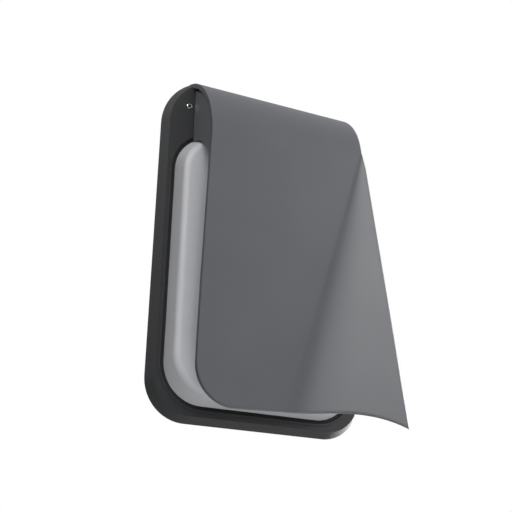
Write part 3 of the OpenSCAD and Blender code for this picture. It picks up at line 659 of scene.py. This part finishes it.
# The shade
def shade_tree():
    """The shade as a sheet: a grid that rolls over the top, hangs down and flares at one corner."""
    tree = GeometryTree(
        "hanging shade",
        {
            "Half Head": HALF_HEAD, "Roll Radius": ROLL_R, "Roll Back": ROLL_BACK, "Roll Height": ROLL_Z,
            "Rear": SHADE_REAR, "Waist": ROLL_WAIST, "Span": ROLL_Z + HALF_H - LIFT,
            "Spread": SPREAD, "Climb": CLIMB, "Corner Radius": CORNER_R,
            "Flare Out": FLARE_OUT, "Flare Width": FLARE_W, "Flare Rise": FLARE_RISE,
            "Tip Drop": TIP_DROP, "Tip Width": TIP_W,
            "Columns": 121, "Rows": 161, "Roll Share": 0.34,
        },
    )
    s = tree.size
    half_head, radius, back, axis_z = s("Half Head"), s("Roll Radius"), s("Roll Back"), s("Roll Height")
    span, spread, waist, corner = s("Span"), s("Spread"), s("Waist"), s("Corner Radius")

    grid = tree.add(
        "GeometryNodeMeshGrid",
        {"Size X": 1.0, "Size Y": 1.0, "Vertices X": s("Columns"), "Vertices Y": s("Rows")},
    )
    spot = tree.add("ShaderNodeSeparateXYZ", {"Vector": tree.add("GeometryNodeInputPosition").outputs[0]})
    across = Field(tree.tree, spot.outputs["X"]) + 0.5
    down = 0.5 - Field(tree.tree, spot.outputs["Y"])

    # Columns are at equal angles round the lower left corner, and evenly spaced after it.
    low_w = 2.0 * half_head + 2.0 * spread
    corner_share = 0.24
    angle = (across / corner_share).at_most(1.0) * (math.pi / 2)
    in_corner = corner / low_w * (1.0 - angle.cosine())
    past = (across - corner_share) / (1.0 - corner_share)
    u = choose(across.below(corner_share), in_corner, corner / low_w + (1.0 - corner / low_w) * past)

    # The lower edge: a round corner, a slow climb, and the drop to the tip.
    x_low = u * low_w
    missing = (corner - x_low).at_least(0.0)
    rounding = (corner - (corner * corner - missing * missing).at_least(0.0).root()) * x_low.below(corner)
    climb = s("Climb") * (x_low - corner).at_least(0.0) / (low_w - corner)
    drop_share = ((x_low - low_w + s("Tip Width")) / s("Tip Width")).at_least(0.0)
    reach = span - rounding - climb + s("Tip Drop") * drop_share ** 3.0

    # Along the sheet: first round the roll, then straight down.
    roll_end = ((back + s("Rear")) / radius).arc_cosine()
    share = s("Roll Share")
    on_roll = down.below(share)
    turn = roll_end * (1.0 - (down / share).at_most(1.0))
    hang = reach * ((down - share) / (1.0 - share)).at_least(0.0)
    low = choose(on_roll, -(radius * turn.sine()), hang)
    run = radius * (roll_end - turn) + hang
    depth = choose(on_roll, radius * turn.cosine() - back, radius - back)

    # Both side edges spread, and the flare grows, on the way down.
    rise = (-low / radius).at_least(0.0).at_most(1.0)
    drawn_in = waist * (1.0 - eased(rise))
    widening = spread + waist
    far = (run / (radius * roll_end + span)).at_most(1.0)
    left = half_head - drawn_in + widening * eased(far)
    grown = ((low + s("Flare Rise")) / (span + s("Flare Rise"))).at_least(0.0)
    right = half_head - drawn_in + widening * grown
    x = u * (left + right) - left
    start = half_head - waist - (s("Flare Width") - widening) * grown
    t = ((x - start) / (right - start).at_least(0.001)).at_least(0.0)
    flare = s("Flare Out") * grown * t * t * (1.5 - 0.5 * t)
    place = tree.xyz(x * MM, -(depth + flare) * MM, (axis_z - low) * MM)
    sheet = tree.add("GeometryNodeSetPosition", {"Geometry": grid.outputs["Mesh"], "Position": place})
    return tree.finish(sheet.outputs[0], MATERIALS["shade"])


def make_shade():
    """The cast shade: the sheet with its thickness and softened edges."""
    shade = shade_tree().make("shade_sheet")
    bm = merged(shade.data)
    bm.to_mesh(shade.data)
    bm.free()
    thick = shade.modifiers.new("thickness", "SOLIDIFY")
    thick.thickness = SHADE_T * MM
    thick.offset = -1.0
    thick.use_even_offset = True
    thick.use_rim = True
    apply_modifiers(shade)
    bm = bmesh.new()
    bm.from_mesh(shade.data)
    bmesh.ops.recalc_face_normals(bm, faces=bm.faces)
    bm.to_mesh(shade.data)
    bm.free()
    round_edges(shade, 0.9, angle=50)
    smooth(shade, 50)
    hand_over(shade, "shade", "front")


# The diffuser
def opal_ring(inset, depth, steps=16):
    """One ring of the diffuser's outline at a depth. Its top and bottom sides lean inwards."""
    forward = (depth - OPAL_BACK) / (OPAL_FRONT - OPAL_BACK)
    wide = OPAL_HALF_W - inset
    top = OPAL_TOP - inset - OPAL_TOP_LEAN * forward
    low = OPAL_LOW + inset + OPAL_LOW_LEAN * forward
    radius = max(1.0, OPAL_CORNER_R - inset)
    ring = []
    for quarter in range(4):
        centre_x = (wide - radius) * (1 if quarter in (0, 3) else -1)
        centre_z = top - radius if quarter < 2 else low + radius
        for step in range(steps + 1):
            angle = math.radians(90 * (quarter + step / steps))
            x = centre_x + radius * math.cos(angle)
            z = centre_z + radius * math.sin(angle)
            ring.append(Vector((x * MM, -depth * MM, z * MM)))
    return ring


def make_diffuser():
    """A moulded cap with a soft front edge and a slightly domed face, hollow behind."""
    edge_steps, dome_steps = 12, 6
    rings = [opal_ring(0.0, OPAL_BACK)]
    for step in range(edge_steps + 1):
        angle = math.radians(90 * step / edge_steps)
        inset = OPAL_DRAFT + (OPAL_EDGE_R - OPAL_DRAFT) * (1 - math.cos(angle))
        rings.append(opal_ring(inset, OPAL_FRONT - OPAL_EDGE_R + OPAL_EDGE_R * math.sin(angle)))
    for step in range(1, dome_steps + 1):
        t = step / dome_steps
        rise = OPAL_DOME * (1 - (1 - t) ** 2)
        rings.append(opal_ring(OPAL_EDGE_R + OPAL_DOME_IN * t, OPAL_FRONT + rise))
    bm = bmesh.new()
    loops = [[bm.verts.new(spot) for spot in ring] for ring in rings]
    count = len(loops[0])
    for low, high in zip(loops, loops[1:]):
        for place in range(count):
            after = (place + 1) % count
            bm.faces.new((low[place], low[after], high[after], high[place]))
    bm.faces.new(loops[-1])
    bmesh.ops.remove_doubles(bm, verts=bm.verts, dist=1e-7)
    bmesh.ops.recalc_face_normals(bm, faces=bm.faces)
    face = max(bm.faces, key=lambda f: f.calc_area())
    if face.normal.y > 0:
        bmesh.ops.reverse_faces(bm, faces=bm.faces)
    cap = piece_from(bm, "opal_cap")
    wall = cap.modifiers.new("wall", "SOLIDIFY")
    wall.thickness = OPAL_T * MM
    wall.offset = -1.0
    apply_modifiers(cap)
    smooth(cap, 50)
    cap.data.materials.append(MATERIALS["opal"])
    hand_over(cap, "diffuser", "front")


# Castings and sheet with soft edges
def soft_copy(node, body, width, segments=3):
    """A copy of a CAD node whose sharp edges are rounded, as a casting's are."""
    bm = merged(NODES[node].data)
    bmesh.ops.dissolve_limit(bm, angle_limit=math.radians(0.4), verts=bm.verts, edges=bm.edges)
    piece = piece_from(bm, "soft_" + node)
    round_edges(piece, width, angle=32, segments=segments)
    smooth(piece, 40)
    flatten_flats(piece)
    piece.data.materials.clear()
    piece.data.materials.append(MATERIALS[FINISHES[node]])
    hand_over(piece, node, body)


# Screws and diodes, which repeat
def islands(node):
    """The low and high corners of each separate solid of a CAD node."""
    bm = merged(NODES[node].data)
    left, boxes = set(bm.verts), []
    while left:
        group, edge = set(), [left.pop()]
        while edge:
            vert = edge.pop()
            group.add(vert)
            for link in vert.link_edges:
                other = link.other_vert(vert)
                if other in left:
                    left.discard(other)
                    edge.append(other)
        boxes.append(corners([vert.co for vert in group]))
    bm.free()
    return boxes


def screw_tree():
    """Pan head screws with a hexagon socket, one on each point of the carrier."""
    head_taper, socket_share, socket_lift = 0.8, 0.46, 0.9
    tree = GeometryTree(
        "screws",
        {"Head Radius": 2.75, "Head Height": 1.0, "Shank Radius": SHANK_R, "Length": 10.0, "Tilt": 0.0},
    )
    s = tree.size
    radius, height, length = s("Head Radius") * MM, s("Head Height") * MM, s("Length") * MM
    head = tree.add(
        "GeometryNodeMeshCone",
        {"Vertices": 32, "Radius Top": radius * head_taper, "Radius Bottom": radius, "Depth": height},
    )
    socket = tree.add(
        "GeometryNodeMeshCylinder",
        {"Vertices": 6, "Radius": radius * socket_share, "Depth": height},
    )
    lifted = tree.moved(socket.outputs["Mesh"], shift=(0.0, 0.0, height * socket_lift))
    cut = tree.add(
        "GeometryNodeMeshBoolean",
        {"Mesh 1": head.outputs["Mesh"], "Mesh 2": lifted},
        operation="DIFFERENCE",
    )
    shank = tree.add(
        "GeometryNodeMeshCylinder",
        {"Vertices": 24, "Radius": s("Shank Radius") * MM, "Depth": length},
    )
    dropped = tree.moved(shank.outputs["Mesh"], shift=(0.0, 0.0, length * -0.5))
    turned = tree.moved(tree.joined(cut.outputs[0], dropped), turn=(s("Tilt"), 0.0, 0.0))
    return tree.finish(tree.on_corners(tree.start.outputs["Geometry"], turned), MATERIALS["screw"])


def make_screws(tree, node, head_height, head_radius=2.75, behind=True):
    """Replaces a CAD node of screws along Y. Their heads are behind, towards the wall, or in front."""
    boxes = islands(node)
    low, high = boxes[0]
    length = (high.y - low.y) / MM - head_height
    seat = high.y - head_height * MM if behind else low.y + head_height * MM
    places = bpy.data.meshes.new(node + "_places")
    places.from_pydata([((a.x + b.x) / 2, seat, (a.z + b.z) / 2) for a, b in boxes], [], [])
    tilt = -math.pi / 2 if behind else math.pi / 2
    values = {"Head Radius": head_radius, "Head Height": head_height, "Length": length, "Tilt": tilt}
    screws = tree.make(node + "_turned", values, places)
    smooth(screws, 35)
    hand_over(screws, node, "front")


def diode_tree(size, count_x, count_z, chip):
    """Diode packages on an even grid: a square base with a round lens."""
    base_share, lens_top, lens_foot = 0.7, 0.36, 0.42
    upright = (math.pi / 2, 0.0, 0.0)
    tree = GeometryTree(
        "diodes",
        {
            "Width": size.x, "Height": size.z, "Across": count_x, "Down": count_z,
            "Chip": chip.x, "Thickness": chip.y,
        },
    )
    s = tree.size
    chip_w, thick = s("Chip"), s("Thickness")
    grid = tree.add(
        "GeometryNodeMeshGrid",
        {"Size X": s("Width"), "Size Y": s("Height"), "Vertices X": s("Across"), "Vertices Y": s("Down")},
    )
    base = tree.add("GeometryNodeMeshCube", {"Size": tree.xyz(chip_w, thick * base_share, chip_w)})
    lowered = tree.moved(base.outputs["Mesh"], shift=(0.0, thick * ((1.0 - base_share) / 2), 0.0))
    lens = tree.add(
        "GeometryNodeMeshCone",
        {
            "Vertices": 24, "Radius Top": chip_w * lens_top, "Radius Bottom": chip_w * lens_foot,
            "Depth": thick,
        },
    )
    package = tree.joined(lowered, tree.moved(lens.outputs["Mesh"], turn=upright))
    placed = tree.on_corners(tree.moved(grid.outputs["Mesh"], turn=upright), package)
    return tree.finish(placed, MATERIALS["phosphor"])


def make_diodes():
    """The diodes, in the CAD's columns and rows."""
    boxes = islands("led_chips")
    chip = boxes[0][1] - boxes[0][0]
    centres = [(low + high) / 2 for low, high in boxes]
    count_x, count_z = (len({round(centre[axis], 4) for centre in centres}) for axis in (0, 2))
    low, high = corners(centres)
    diodes = diode_tree(high - low, count_x, count_z, chip).make("diode_packages")
    diodes.data.transform(Matrix.Translation((low + high) / 2))
    smooth(diodes, 35)
    hand_over(diodes, "led_chips", "front")


def make_locking_screw(node, body, side):
    """A turned cheese head with a chamfer, a deep hexagon socket and a plain shank."""
    chamfer = 0.25
    head_front = LOCK_SEAT + LOCK_HEAD_T
    profile = [
        (0.0, LOCK_TIP), (SHANK_R - chamfer, LOCK_TIP), (SHANK_R, LOCK_TIP + chamfer),
        (SHANK_R, LOCK_SEAT), (LOCK_HEAD_R, LOCK_SEAT), (LOCK_HEAD_R, head_front - chamfer),
        (LOCK_HEAD_R - chamfer, head_front), (0.0, head_front),
    ]
    bm = bmesh.new()
    verts = [bm.verts.new((radius * MM, -depth * MM, 0.0)) for radius, depth in profile]
    edges = [bm.edges.new(pair) for pair in zip(verts, verts[1:])]
    bmesh.ops.spin(
        bm, geom=verts + edges, cent=(0, 0, 0), axis=(0, 1, 0), angle=2 * math.pi, steps=48,
        use_duplicate=False,
    )
    bmesh.ops.remove_doubles(bm, verts=bm.verts, dist=1e-6)
    bmesh.ops.recalc_face_normals(bm, faces=bm.faces)
    screw = piece_from(bm, node + "_turned")
    bpy.ops.mesh.primitive_cylinder_add(
        vertices=6, radius=SOCKET_FLAT / 2 / math.cos(math.radians(30)) * MM, depth=2 * SOCKET_DEPTH * MM,
        rotation=(math.pi / 2, 0.0, 0.0), location=(0.0, -head_front * MM, 0.0),
    )
    cutter = bpy.context.active_object
    socket = screw.modifiers.new("socket", "BOOLEAN")
    socket.operation = "DIFFERENCE"
    socket.object = cutter
    socket.solver = "EXACT"
    apply_modifiers(screw)
    bpy.data.objects.remove(cutter)
    screw.data.transform(Matrix.Translation((side * LOCK_X * MM, 0.0, LOCK_Z * MM)))
    smooth(screw, 30)
    screw.data.materials.clear()
    screw.data.materials.append(MATERIALS["lock"])
    hand_over(screw, node, body)


place_camera()
build_world()
build_floor()
build_lamps()
dress_nodes()
make_shade()
make_diffuser()
soft_copy("housing", "front", 0.45)
soft_copy("head_casting", "front", 0.3)
soft_copy("wall_bracket", "bracket", 0.3, segments=2)
make_locking_screw("left_locking_screw", "left_lock", -1)
make_locking_screw("right_locking_screw", "right_lock", 1)
make_diodes()
screws = screw_tree()
make_screws(screws, "head_screws", 1.0)
make_screws(screws, "driver_screws", 1.0)
make_screws(screws, "diffuser_screws", 1.8, head_radius=2.7)
make_screws(screws, "board_screws", 1.8, behind=False)

scene = bpy.context.scene
scene.view_settings.view_transform = "Standard"
